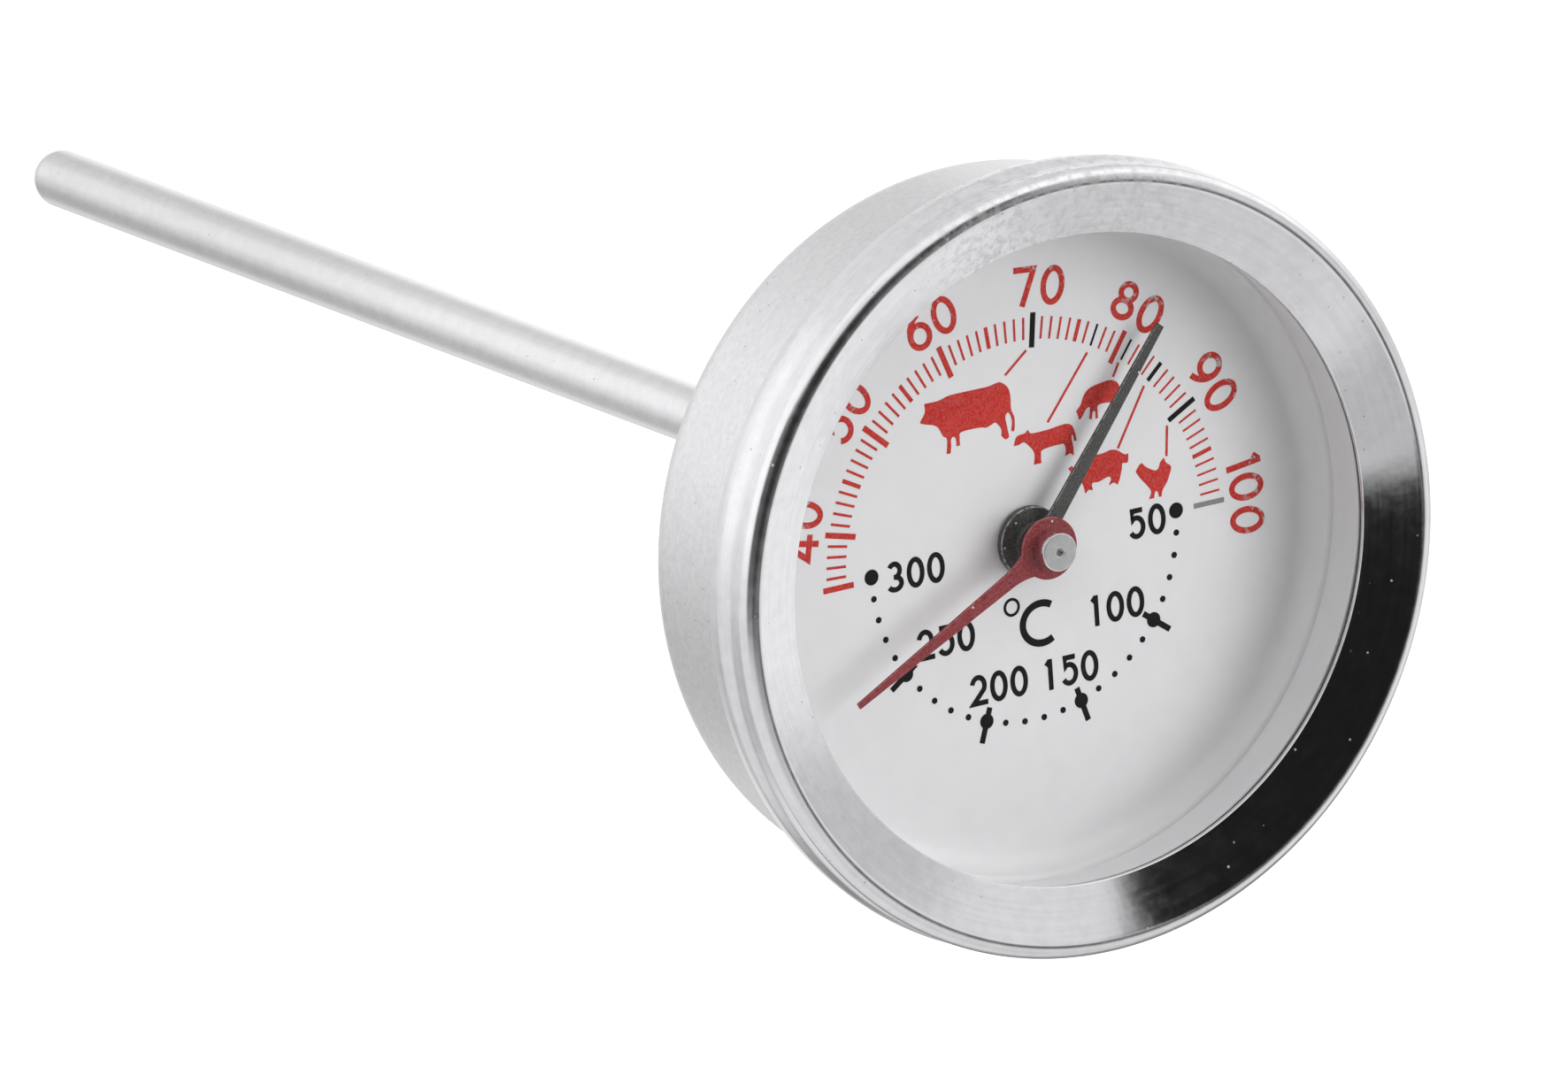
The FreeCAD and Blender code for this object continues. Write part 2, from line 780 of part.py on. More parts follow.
fill_sheet()
parts = build_parts()
sheet.clear(SCRATCH_CELL)
document.recompute()
check_document(parts)
write_parts(parts)
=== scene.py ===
"""Looks of the meat thermometer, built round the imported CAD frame.

Lengths are in millimetres in the frame's own axes: Y runs from the dial to the stem's tip, Z is up at
12 o'clock and X is at 3 o'clock. Clock angles are in degrees, clockwise from 12 as the dial is read.
"""
import json
import math

import bmesh
import bpy
from mathutils import Matrix, Vector


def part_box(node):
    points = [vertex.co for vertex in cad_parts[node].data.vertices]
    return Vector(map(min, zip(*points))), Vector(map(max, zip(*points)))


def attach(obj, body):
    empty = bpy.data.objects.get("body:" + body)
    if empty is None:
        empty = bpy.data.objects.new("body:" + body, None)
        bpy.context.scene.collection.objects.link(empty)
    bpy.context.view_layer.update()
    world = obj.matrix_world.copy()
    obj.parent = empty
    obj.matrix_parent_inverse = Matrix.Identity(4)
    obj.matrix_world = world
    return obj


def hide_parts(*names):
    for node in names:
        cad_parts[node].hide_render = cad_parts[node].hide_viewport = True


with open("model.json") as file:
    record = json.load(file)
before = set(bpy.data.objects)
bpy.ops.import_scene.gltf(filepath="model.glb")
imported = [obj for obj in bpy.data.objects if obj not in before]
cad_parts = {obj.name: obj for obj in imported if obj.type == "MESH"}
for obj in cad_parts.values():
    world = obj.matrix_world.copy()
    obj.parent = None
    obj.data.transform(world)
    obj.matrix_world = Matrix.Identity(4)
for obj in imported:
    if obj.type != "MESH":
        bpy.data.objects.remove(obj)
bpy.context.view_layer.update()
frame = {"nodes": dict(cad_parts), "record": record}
MM = 0.001


# Places taken from the frame ----------------------------------------------------------------

def reach(node, axis=0):
    """How far a CAD node reaches along an axis, in millimetres."""
    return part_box(node)[1][axis] / MM


def front(node):
    """Where a CAD node begins along the thermometer's axis, in millimetres."""
    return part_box(node)[0][1] / MM


BEZEL_RADIUS, CORNER_Y, BEZEL_SKIN = 27.5, -17.89, 0.5
CORNER_SKIN = 0.758  # the corner's thickness along the axis, where face and skirt meet
LIP_RADIUS, LIP_Y, LIP_SKIN = 22.52, -15.77, 0.545
WAIST_RADIUS, WAIST_Y, SKIRT_TOP_Y = 27.2, -15.0, -13.8
SKIRT_END_RADIUS, SKIRT_END_Y = 27.25, reach("bezel_ring", 1)
CUP_RADIUS, CUP_SKIN, CUP_ROUND = 24.98, 0.6, 2.8
FLANGE_RADIUS = reach("rear_case")
FLANGE_Y = front("rear_case") + CUP_SKIN
STEM_HOLE_RADIUS = 3.0
DIAL_SKIN = 0.4
DIAL_Y = reach("dial_plate", 1) - DIAL_SKIN
BRIM_Y = front("dial_plate")
BRIM_RADIUS = reach("dial_plate")
FLOOR_RADIUS, RIM_RADIUS, DIAL_HOLE_RADIUS = 22.6, 22.9, 1.05
GLASS_RADIUS, GLASS_Y, GLASS_END_Y = reach("glass_lens"), front("glass_lens"), reach("glass_lens", 1)
RING_BORE = BRIM_RADIUS - 1.02  # hides the dial's brim, so it is a little tighter than the CAD's ring
STEM_RADIUS, STEM_ROOT_RADIUS, STEM_BORE = reach("stem_tube"), 1.84, 1.65
STEM_FRONT_Y, STEM_END_Y = front("stem_tube"), reach("stem_tube", 1)
COLLAR_RADIUS, COLLAR_Y, NECK_RADIUS = reach("stem_collar"), reach("stem_collar", 1), 2.95
INK_Y, INK_END_Y = DIAL_Y - 0.02, DIAL_Y + 0.05
INK_STEP = 0.002  # keeps the faces of crossing strokes apart


# Outlines -----------------------------------------------------------------------------------

def arc(across, along, wide, high, start, end, count=24):
    """Points on an ellipse's arc. Angles are in degrees, anticlockwise from the first axis."""
    steps = [math.radians(start + (end - start) * i / count) for i in range(count + 1)]
    return [(across + wide * math.cos(t), along + high * math.sin(t)) for t in steps]


def oval(across, along, wide, high, count=48):
    """A closed ellipse."""
    return arc(across, along, wide, high, 0, 360, count)[:-1]


def rounded(corners):
    """Turns a closed outline's corners into arcs. A corner is (across, along) or (across, along, radius)."""
    made = []
    for index, corner in enumerate(corners):
        here = Vector(corner[:2])
        radius = corner[2] if len(corner) > 2 else 0
        if not radius:
            made.append(tuple(here))
            continue
        before = (Vector(corners[index - 1][:2]) - here).normalized()
        after = (Vector(corners[(index + 1) % len(corners)][:2]) - here).normalized()
        half = before.angle(after) / 2
        middle = here + (before + after).normalized() * (radius / math.sin(half))
        first = here + before * (radius / math.tan(half)) - middle
        turn = first.angle_signed(here + after * (radius / math.tan(half)) - middle)
        count = max(4, round(abs(math.degrees(turn)) / 6))
        for step in range(count + 1):
            made.append(tuple(middle + Matrix.Rotation(-turn * step / count, 2) @ first))
    return made


def flowing(points, count=8):
    """A closed smooth outline through points. A point with a third value is a sharp corner."""
    made = []
    size = len(points)
    for index in range(size):
        before, start, end, after = (points[(index + k - 1) % size] for k in range(4))
        a, b = Vector(start[:2]), Vector(end[:2])
        leave = (b - a) if len(start) > 2 else (b - Vector(before[:2])) / 2
        arrive = (b - a) if len(end) > 2 else (Vector(after[:2]) - a) / 2
        for step in range(count):
            t = step / count
            made.append(tuple(
                a * (2 * t**3 - 3 * t**2 + 1) + leave * (t**3 - 2 * t**2 + t)
                + b * (3 * t**2 - 2 * t**3) + arrive * (t**3 - t**2)
            ))
    return made


def turned_by(points, degrees, centre=(0, 0)):
    """Points turned clockwise about a centre, as the dial is read."""
    t, middle = math.radians(degrees), Vector(centre)
    moved = []
    for point in points:
        across, along = Vector(point[:2]) - middle
        moved.append((
            middle.x + across * math.cos(t) + along * math.sin(t),
            middle.y - across * math.sin(t) + along * math.cos(t),
        ))
    return moved


def shifted(points, across, along):
    return [(p[0] + across, p[1] + along) for p in points]


def clock(radius, degrees):
    """The point on the dial at a radius and a clock angle."""
    t = math.radians(degrees)
    return radius * math.sin(t), radius * math.cos(t)


# Meshes -------------------------------------------------------------------------------------

def new_piece(name, mesh_maker, body, material, replaces=(), sharp=35):
    """Makes an object from a function that fills a bmesh, and ties it to the frame."""
    shape = bmesh.new()
    mesh_maker(shape)
    bmesh.ops.remove_doubles(shape, verts=shape.verts, dist=1e-6)
    bmesh.ops.dissolve_degenerate(shape, edges=shape.edges, dist=1e-7)
    bmesh.ops.recalc_face_normals(shape, faces=shape.faces)
    bmesh.ops.scale(shape, vec=(MM, MM, MM), verts=shape.verts)
    mesh = bpy.data.meshes.new(name)
    shape.to_mesh(mesh)
    shape.free()
    mesh.polygons.foreach_set("use_smooth", [True] * len(mesh.polygons))
    mesh.set_sharp_from_angle(angle=math.radians(sharp))
    piece = bpy.data.objects.new(name, mesh)
    bpy.context.scene.collection.objects.link(piece)
    mesh.materials.append(material)
    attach(piece, body)
    if replaces:
        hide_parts(*replaces)


def lathe(shape, outline, segments=256):
    """Turns a closed outline of (radius, place along the axis) about the axis."""
    rings = []
    for radius, along in outline:
        if radius < 1e-9:
            rings.append([shape.verts.new((0, along, 0))] * segments)
            continue
        angles = [math.tau * i / segments for i in range(segments)]
        around = [(radius * math.sin(t), along, radius * math.cos(t)) for t in angles]
        rings.append([shape.verts.new(place) for place in around])
    for this, following in zip(rings, rings[1:] + rings[:1]):
        for i in range(segments):
            j = (i + 1) % segments
            loop = list(dict.fromkeys([this[i], this[j], following[j], following[i]]))
            if len(loop) > 2:
                shape.faces.new(loop)


def inset(outline, distance):
    """Moves a closed outline inwards (towards its left when it runs anticlockwise)."""
    area = sum(a[0] * b[1] - b[0] * a[1] for a, b in zip(outline, outline[1:] + outline[:1]))
    side = math.copysign(distance, area)
    made = []
    for index, point in enumerate(outline):
        here = Vector(point)
        before = (here - Vector(outline[index - 1])).normalized()
        after = (Vector(outline[(index + 1) % len(outline)]) - here).normalized()
        n = Vector((-before.y - after.y, before.x + after.x))
        made.append(tuple(here + n * (side / max(n.length_squared / 2, 0.3))))
    return made


def prism(shape, loops, near, far, chamfer=0.0):
    """A flat solid between two places along the axis: an outer outline and any holes in it."""
    levels = [(near, chamfer), (near + chamfer, 0), (far - chamfer, 0), (far, chamfer)]
    if not chamfer:
        levels = [(near, 0), (far, 0)]
    caps = {0: [], len(levels) - 1: []}
    for number, loop in enumerate(loops):
        rows = []
        for along, back in levels:
            points = inset(loop, back if number == 0 else -back) if back else loop
            rows.append([shape.verts.new((x, along, z)) for x, z in points])
        for this, following in zip(rows, rows[1:]):
            for i in range(len(loop)):
                shape.faces.new((this[i - 1], this[i], following[i], following[i - 1]))
        for level in caps:
            row = rows[level]
            caps[level] += [shape.edges.get((row[i - 1], row[i])) for i in range(len(row))]
    for edges in caps.values():
        bmesh.ops.triangle_fill(shape, use_beauty=True, use_dissolve=False, edges=edges)


def stroke(shape, points, width, near, far, closed=False):
    """A flat ribbon of even width along points, with square ends and mitred corners."""
    rows = []
    size = len(points)
    for index, point in enumerate(points):
        here = Vector(point)
        before = here - Vector(points[index - 1]) if closed or index else None
        after = Vector(points[(index + 1) % size]) - here if closed or index < size - 1 else None
        first = (before or after).normalized()
        second = (after or before).normalized()
        n = Vector((-first.y - second.y, first.x + second.x))
        offset = n * (width / max(n.length_squared, 0.5))
        left, right = here + offset, here - offset
        corners = ((left, near), (right, near), (right, far), (left, far))
        rows.append([shape.verts.new((p.x, along, p.y)) for p, along in corners])
    pairs = list(zip(rows, rows[1:] + rows[:1])) if closed else list(zip(rows, rows[1:]))
    for this, following in pairs:
        for i in range(4):
            shape.faces.new((this[i - 1], this[i], following[i], following[i - 1]))
    if not closed:
        shape.faces.new(rows[0])
        shape.faces.new(rows[-1][::-1])


# Node materials -----------------------------------------------------------------------------

def add(tree, kind, inputs=None, **settings):
    """Adds a node, sets its properties and joins or sets its inputs."""
    made = tree.nodes.new("ShaderNode" + kind)
    for name, value in settings.items():
        setattr(made, name, value)
    for name, value in (inputs or {}).items():
        if isinstance(value, bpy.types.NodeSocket):
            tree.links.new(value, made.inputs[name])
        else:
            made.inputs[name].default_value = value
    return made


def maths(tree, operation, *values):
    return add(tree, "Math", dict(enumerate(values)), operation=operation).outputs[0]


def ramp(tree, value, low, high, start=0.0, end=1.0, smooth=True):
    """Maps a value between low and high to a value between start and end, clamped."""
    return add(
        tree, "MapRange",
        {"Value": value, "From Min": low, "From Max": high, "To Min": start, "To Max": end},
        interpolation_type="SMOOTHSTEP" if smooth else "LINEAR",
    ).outputs["Result"]


def blend(tree, factor, first, second):
    """Mixes two colours."""
    return add(tree, "Mix", {0: factor, 6: first, 7: second}, data_type="RGBA").outputs[2]


def places(tree):
    """The point in the frame, in millimetres."""
    point = add(tree, "TexCoord").outputs["Object"]
    return add(tree, "VectorMath", {0: point, "Scale": 1 / MM}, operation="SCALE").outputs[0]


def noise(tree, vector, scale, detail=3.0, rough=0.5):
    return add(
        tree, "TexNoise",
        {"Vector": vector, "Scale": scale, "Detail": detail, "Roughness": rough},
    ).outputs["Fac"]


def grey(value):
    return value, value, value, 1


def along_axis(tree, vector):
    """A vector's share along the thermometer's axis."""
    return add(tree, "SeparateXYZ", {0: vector}).outputs["Y"]


def steepness(tree):
    """How squarely a surface faces along the axis, from 0 on its sides to 1 on its flats."""
    return maths(tree, "ABSOLUTE", along_axis(tree, add(tree, "NewGeometry").outputs["Normal"]))


def off_axis(tree, point):
    """The direction from the axis to a point, and the point's radius."""
    flat = add(tree, "VectorMath", {0: point, 1: (1, 0, 1)}, operation="MULTIPLY").outputs[0]
    unit = add(tree, "VectorMath", {0: flat}, operation="NORMALIZE").outputs[0]
    return unit, add(tree, "VectorMath", {0: flat}, operation="LENGTH").outputs["Value"]


def polar(tree, point, around, across):
    """A vector that changes slowly round the axis and fast across it, for turned and spun marks."""
    unit, radius = off_axis(tree, point)
    wide = add(tree, "VectorMath", {0: unit, "Scale": around}, operation="SCALE").outputs[0]
    sideways = maths(tree, "MULTIPLY", maths(tree, "ADD", radius, along_axis(tree, point)), across)
    lift = add(tree, "CombineXYZ", {"Y": sideways}).outputs[0]
    return add(tree, "VectorMath", {0: wide, 1: lift}, operation="ADD").outputs[0]


def specks(tree, point, scale, size, share):
    """Small scattered spots: their scale per millimetre, their size in cells and how many cells have one."""
    cells = add(tree, "TexVoronoi", {"Vector": point, "Scale": scale})
    spot = ramp(tree, cells.outputs["Distance"], size, size * 0.5)
    draw = add(tree, "SeparateColor", {0: cells.outputs["Color"]}).outputs[0]
    chosen = ramp(tree, draw, share + 0.01, share)
    return maths(tree, "MULTIPLY", spot, chosen)


def begin(name, metallic=0.0, **constants):
    """A new material with its Principled shader, whose constant numbers are set on it directly."""
    made = bpy.data.materials.new(name)
    made.use_nodes = True
    shader = made.node_tree.nodes["Principled BSDF"]
    shader.inputs["Metallic"].default_value = metallic
    for socket, value in constants.items():
        shader.inputs[socket.replace("_", " ")].default_value = value
    return made, made.node_tree, shader


def bump(tree, shader, height, distance):
    node = add(tree, "Bump", {"Height": height, "Distance": distance * MM})
    tree.links.new(node.outputs[0], shader.inputs["Normal"])


PIT, SCUFFED, DARKER_TONE = (0.12, 0.115, 0.11, 1), grey(0.42), grey(0.22)
WHITE, CHIPPED, DUST = grey(1), (0.44, 0.42, 0.42, 1), grey(0.75)


def steel(name, bright, dark, roughness, grain=0.08, around=3.0, across=14.0, mottle=0.06,
          mottle_scale=0.9, pits=0.02, relief=0.0012, scuff=None, waves=0.0, flecks=0.0, rolled=None,
          smooth_side=0.0, darkening=None):
    """Turned or spun metal: fine rings, soft mottling and a few dark pits.

    Where asked it also has a scuffed zone, low waves, dull flecks, a duller rolled edge beyond a radius,
    sides that are smoother than the face, or a darker tone that grows between two places along the axis.
    """
    made, tree, shader = begin(name, metallic=1.0)
    point = places(tree)
    unit, radius = off_axis(tree, point)
    rings = noise(tree, polar(tree, point, around, across), 1.0, 4.0, 0.6)
    cloud = noise(tree, point, mottle_scale, 5.0, 0.62)
    fine = noise(tree, point, 7.0, 3.0, 0.6)
    spots = specks(tree, point, 1.1, 0.08, pits * 30)
    tone = maths(tree, "ADD", maths(tree, "MULTIPLY", rings, 0.45), maths(tree, "MULTIPLY", cloud, 0.55))
    colour = blend(tree, ramp(tree, tone, 0.36, 0.64, smooth=False), dark, bright)
    colour = blend(tree, maths(tree, "MULTIPLY", spots, 0.75), colour, PIT)
    rough = maths(tree, "MULTIPLY_ADD", maths(tree, "SUBTRACT", rings, 0.5), grain * 2, roughness)
    rough = maths(tree, "MULTIPLY_ADD", maths(tree, "SUBTRACT", cloud, 0.5), mottle * 2, rough)
    if scuff:
        angle, width, strength = scuff
        x, z = clock(1, angle)
        towards = add(tree, "VectorMath", {0: unit, 1: (x, 0, z)}, operation="DOT_PRODUCT").outputs["Value"]
        zone = ramp(tree, towards, math.cos(math.radians(width)), 1.0)
        patch = maths(tree, "MULTIPLY", zone, ramp(tree, noise(tree, point, 1.6, 6.0, 0.68), 0.42, 0.66))
        rough = maths(tree, "MULTIPLY_ADD", patch, strength, rough)
        colour = blend(tree, maths(tree, "MULTIPLY", patch, 0.35), colour, SCUFFED)
    # A darker tone between two places along the axis: on the bezel it is painted shade along the skirt's
    # rear edge where it meets the cup, and on the stem it darkens towards the tip.
    if darkening:
        start, end, share = darkening
        colour = blend(tree, ramp(tree, along_axis(tree, point), start, end, 0.0, share), colour, DARKER_TONE)
    if rolled:
        rough = maths(tree, "MULTIPLY_ADD", ramp(tree, radius, rolled - 0.15, rolled + 0.15), 0.13, rough)
    if flecks:
        rough = maths(tree, "MULTIPLY_ADD", specks(tree, point, 0.9, 0.10, flecks), 0.6, rough)
    if smooth_side:
        side = ramp(tree, steepness(tree), 0.8, 0.3)
        rough = maths(tree, "MULTIPLY_ADD", side, -smooth_side, rough)
    tree.links.new(colour, shader.inputs["Base Color"])
    tree.links.new(ramp(tree, rough, 0.03, 0.9, 0.03, 0.9, smooth=False), shader.inputs["Roughness"])
    height = maths(tree, "MULTIPLY_ADD", fine, 0.35, rings)
    if waves:
        height = maths(tree, "MULTIPLY_ADD", noise(tree, point, 0.5, 2.0, 0.5), waves, height)
    height = maths(tree, "MULTIPLY_ADD", cloud, 0.9, height)
    bump(tree, shader, maths(tree, "MULTIPLY_ADD", spots, -2.0, height), relief)
    return made


def paint(name, colour, shade, roughness, edge=None, dust=0.0, grain=0.01, relief=0.002, shine=0.5,
          worn_from=None, edge_from=0.0):
    """Enamel, lacquer, ink or rubber: cloudy tone, fine grain, and edge wear with a painted highlight, dust
    or chips where asked.
    """
    made, tree, shader = begin(name, Specular_IOR_Level=shine)
    point = places(tree)
    cloud = noise(tree, point, 0.7, 4.0, 0.6)
    tooth = noise(tree, point, 9.0, 3.0, 0.6)
    radius = off_axis(tree, point)[1]
    tint = blend(tree, ramp(tree, cloud, 0.3, 0.7, smooth=False), shade, colour)
    tint = blend(tree, ramp(tree, tooth, 0.3, 0.75, 0.0, grain * 8), tint, WHITE)
    if edge:
        # Lightens the chamfers: partly edge wear, partly a painted highlight along the edges.
        slant = steepness(tree)
        edge_wear_and_highlight = maths(tree, "MULTIPLY", ramp(tree, slant, 0.97, 0.85), ramp(tree, slant, 0.15, 0.5))
        ragged = maths(tree, "MULTIPLY", edge_wear_and_highlight, ramp(tree, noise(tree, point, 3.5, 4.0, 0.7), 0.38, 0.6))
        ragged = maths(tree, "MULTIPLY", ragged, ramp(tree, radius, edge_from - 0.2, edge_from))
        tint = blend(tree, ragged, tint, edge)
    if worn_from:
        outside = ramp(tree, radius, worn_from, worn_from + 1.4)
        chips = ramp(tree, noise(tree, point, 1.7, 5.0, 0.70), 0.56, 0.60)
        tint = blend(tree, maths(tree, "MULTIPLY", outside, chips), tint, CHIPPED)
    if dust:
        flecks = specks(tree, point, 0.9, 0.085, dust * 6)
        tint = blend(tree, flecks, tint, DUST)
    tree.links.new(tint, shader.inputs["Base Color"])
    rough = ramp(tree, tooth, 0.25, 0.75, roughness - 0.07, roughness + 0.07)
    tree.links.new(rough, shader.inputs["Roughness"])
    bump(tree, shader, tooth, relief)
    return made


def window_glass():
    """Thin clear glass: light goes straight through it, and the rest is a reflection."""
    made, tree, shader = begin("window_glass", metallic=1.0, Roughness=0.02, IOR=1.5)
    smear = noise(tree, places(tree), 0.12, 3.0, 0.5)
    tint = blend(tree, ramp(tree, smear, 0.3, 0.7), (0.93, 0.95, 0.95, 1), WHITE)
    tree.links.new(tint, shader.inputs["Base Color"])
    clear = add(tree, "BsdfTransparent", {"Color": (0.988, 0.988, 0.99, 1)})
    slant = add(tree, "LayerWeight", {"Blend": 0.5}).outputs["Facing"]
    shine = maths(tree, "MULTIPLY_ADD", maths(tree, "POWER", slant, 5.0), 0.97, 0.03)
    mixed = add(tree, "MixShader", {0: shine, 1: clear.outputs[0], 2: shader.outputs[0]})
    tree.links.new(mixed.outputs[0], tree.nodes["Material Output"].inputs["Surface"])
    return made


# The bezel's band from -12.58 to -12.48 mm along the axis is painted shade: a dark line at the skirt's rear
# edge where it meets the cup.
BEZEL = steel("bezel_steel", (0.76, 0.76, 0.775, 1), (0.66, 0.66, 0.675, 1), 0.11,
              grain=0.03, around=2.0, across=6.0, mottle=0.07, pits=0.004, relief=0.0006,
              scuff=(0, 32, 0.22), waves=14.0, flecks=0.5, rolled=26.3, darkening=(-12.58, -12.48, 0.55))
CASE = steel("case_steel", (0.74, 0.74, 0.752, 1), (0.62, 0.62, 0.632, 1), 0.34,
             grain=0.07, around=40.0, across=9.0, mottle=0.05, mottle_scale=2.2, pits=0.03, relief=0.003)
# The stem's colour darkens a little from 55 to 95 mm along the axis, towards its tip.
STEM = steel("stem_steel", (0.76, 0.76, 0.77, 1), (0.68, 0.68, 0.69, 1), 0.27,
             grain=0.05, around=4.0, across=10.0, mottle=0.04, pits=0.008, relief=0.001,
             darkening=(55, 95, 0.15))
BUSH = steel("bush_aluminium", (0.92, 0.92, 0.925, 1), (0.76, 0.76, 0.765, 1), 0.42,
             grain=0.08, around=6.0, across=22.0, mottle=0.06, mottle_scale=3.0, pits=0.02,
             smooth_side=0.28)
RING = paint("ring_aluminium", (0.78, 0.78, 0.785, 1), (0.75, 0.75, 0.756, 1), 0.5,
             grain=0.006, relief=0.001)
BRASS = steel("movement_brass", (0.74, 0.50, 0.22, 1), (0.58, 0.36, 0.14, 1), 0.30, around=4.0)
BRACKET = steel("bracket_steel", (0.66, 0.66, 0.65, 1), (0.50, 0.50, 0.49, 1), 0.38,
                around=30.0, across=4.0)
SCREW = steel("screw_steel", (0.60, 0.60, 0.61, 1), (0.45, 0.45, 0.46, 1), 0.32, around=5.0)
BIMETAL = steel("bimetal", (0.58, 0.52, 0.44, 1), (0.42, 0.37, 0.31, 1), 0.36, around=8.0)
SILVER = paint("dial_silver", (0.80, 0.80, 0.805, 1), (0.77, 0.77, 0.776, 1), 0.46,
               grain=0.006, relief=0.001)
RED_INK = paint("red_ink", (0.57, 0.017, 0.007, 1), (0.48, 0.013, 0.006, 1), 0.5,
                relief=0.001, shine=0.1, worn_from=16.8)
BLACK_INK = paint("black_ink", grey(0.010), grey(0.007), 0.55, relief=0.001, grain=0.001, shine=0.05)
GREY_INK = paint("grey_ink", grey(0.24), grey(0.20), 0.55, relief=0.001, shine=0.2)
# The pointers' lighter edge colours are partly edge wear, partly a painted highlight along their chamfers.
RED = paint("red_enamel", (0.25, 0.014, 0.018, 1), (0.19, 0.010, 0.015, 1), 0.34,
            edge=(0.50, 0.16, 0.16, 1), dust=0.05, shine=0.35)
BLACK = paint("black_enamel", (0.046, 0.046, 0.042, 1), (0.034, 0.034, 0.031, 1), 0.5,
              edge=(0.42, 0.42, 0.40, 1), dust=0.16, shine=0.3, edge_from=2.1)
RUBBER = paint("gasket_rubber", grey(0.055), grey(0.035), 0.7)
GLASS = window_glass()

SLOT_LOOKS = {
    "bezel_steel": BEZEL, "case_steel": CASE, "stem_steel": STEM, "window_glass": GLASS,
    "gasket_rubber": RUBBER, "ring_aluminium": RING, "bush_aluminium": BUSH, "dial_silver": SILVER,
    "red_enamel": RED, "black_enamel": BLACK, "movement_brass": BRASS, "bracket_steel": BRACKET,
    "screw_steel": SCREW, "bimetal": BIMETAL,
}


# Camera, floor and light --------------------------------------------------------------------

def facing(azimuth, elevation):
    """The direction from the object at an azimuth from the dial's front towards +X and an elevation."""
    a, e = math.radians(azimuth), math.radians(elevation)
    return Vector((math.sin(a) * math.cos(e), -math.cos(a) * math.cos(e), math.sin(e)))


VIEW_AZIMUTH, VIEW_ELEVATION, VIEW_ROLL = -30.332, 15.748, -4.191
VIEW_TARGET, VIEW_DISTANCE, VIEW_ACROSS, VIEW_ABOVE = Vector((0, -16, 0)), 3230, -20.106, 1.564
SENSOR_WIDTH, FOCAL_LENGTH = 36, 1100


def make_camera():
    back = facing(VIEW_AZIMUTH, VIEW_ELEVATION)
    right = Vector((0, 0, 1)).cross(back).normalized()
    up = back.cross(right)
    roll = math.radians(VIEW_ROLL)
    across = right * math.cos(roll) + up * math.sin(roll)
    above = up * math.cos(roll) - right * math.sin(roll)
    data = bpy.data.cameras.new("camera")
    data.sensor_width, data.lens = SENSOR_WIDTH, FOCAL_LENGTH
    data.clip_start, data.clip_end = 0.1, 20
    camera = bpy.data.objects.new("camera", data)
    place = VIEW_TARGET + back * VIEW_DISTANCE + across * VIEW_ACROSS + above * VIEW_ABOVE
    turn = Matrix((across, above, back)).transposed().to_4x4()
    camera.matrix_world = Matrix.Translation(place * MM) @ turn
    bpy.context.scene.collection.objects.link(camera)
    bpy.context.scene.camera = camera


def card(tree, direction, azimuth, elevation, wide, high, soft):
    """How far a direction falls on a soft-edged card, from 0 to 1. The card's sizes are in degrees."""
    middle = facing(azimuth, elevation)
    right = Vector((math.cos(math.radians(azimuth)), math.sin(math.radians(azimuth)), 0))
    up = right.cross(middle)
    up = -up if up.z < 0 else up
    inside = None
    ahead = add(tree, "VectorMath", {0: direction, 1: middle}, operation="DOT_PRODUCT").outputs["Value"]
    for axis, half in ((right, wide), (up, high)):
        aside = add(tree, "VectorMath", {0: direction, 1: axis}, operation="DOT_PRODUCT").outputs["Value"]
        turn = maths(tree, "ABSOLUTE", maths(tree, "ARCTAN2", aside, ahead))
        share = ramp(tree, turn, math.radians(half + soft / 2), math.radians(half - soft / 2))
        inside = share if inside is None else maths(tree, "MULTIPLY", inside, share)
    return inside


ROOM = 0.92
# Azimuth, elevation, half width, half height, soft edge, and the light there.
CARDS = [
    (-95, 28, 46, 28, 24, 1.34),
    (-30, 72, 40, 18, 30, 1.22),
    (50, 50, 24, 16, 16, 1.45),
    (92, 26, 20, 18, 18, 1.40),
    (137, 3, 18, 14, 14, 1.20),
    (64, 4, 9, 12, 10, 0.70),
    (74, -30, 16, 20, 12, 1.10),
    (140, -50, 40, 20, 24, 0.28),
    (-162, -24, 16, 12, 14, 0.58),
    (171, -31, 11, 8, 8, 0.98),
    (-152, 20, 16, 18, 16, 1.20),
    (161, 29, 9, 9, 10, 0.80),
    (25, -55, 22, 14, 14, 0.80),
    (-14, -27, 14, 8, 10, 0.64),
    (108, -14, 18, 14, 14, 0.80),
    (30, -16, 9, 9, 7, 0.08),
    (-42, 10, 25, 25, 10, 0.10),
    (1, 9, 27.5, 27.5, 6, 0.014),
]
# Azimuth, elevation, width in metres and power in watts.
LAMPS = {"key": (32, 6, 0.7, 4.9), "fill": (-50, 35, 0.6, 1.0)}
LAMP_DISTANCE = 0.9


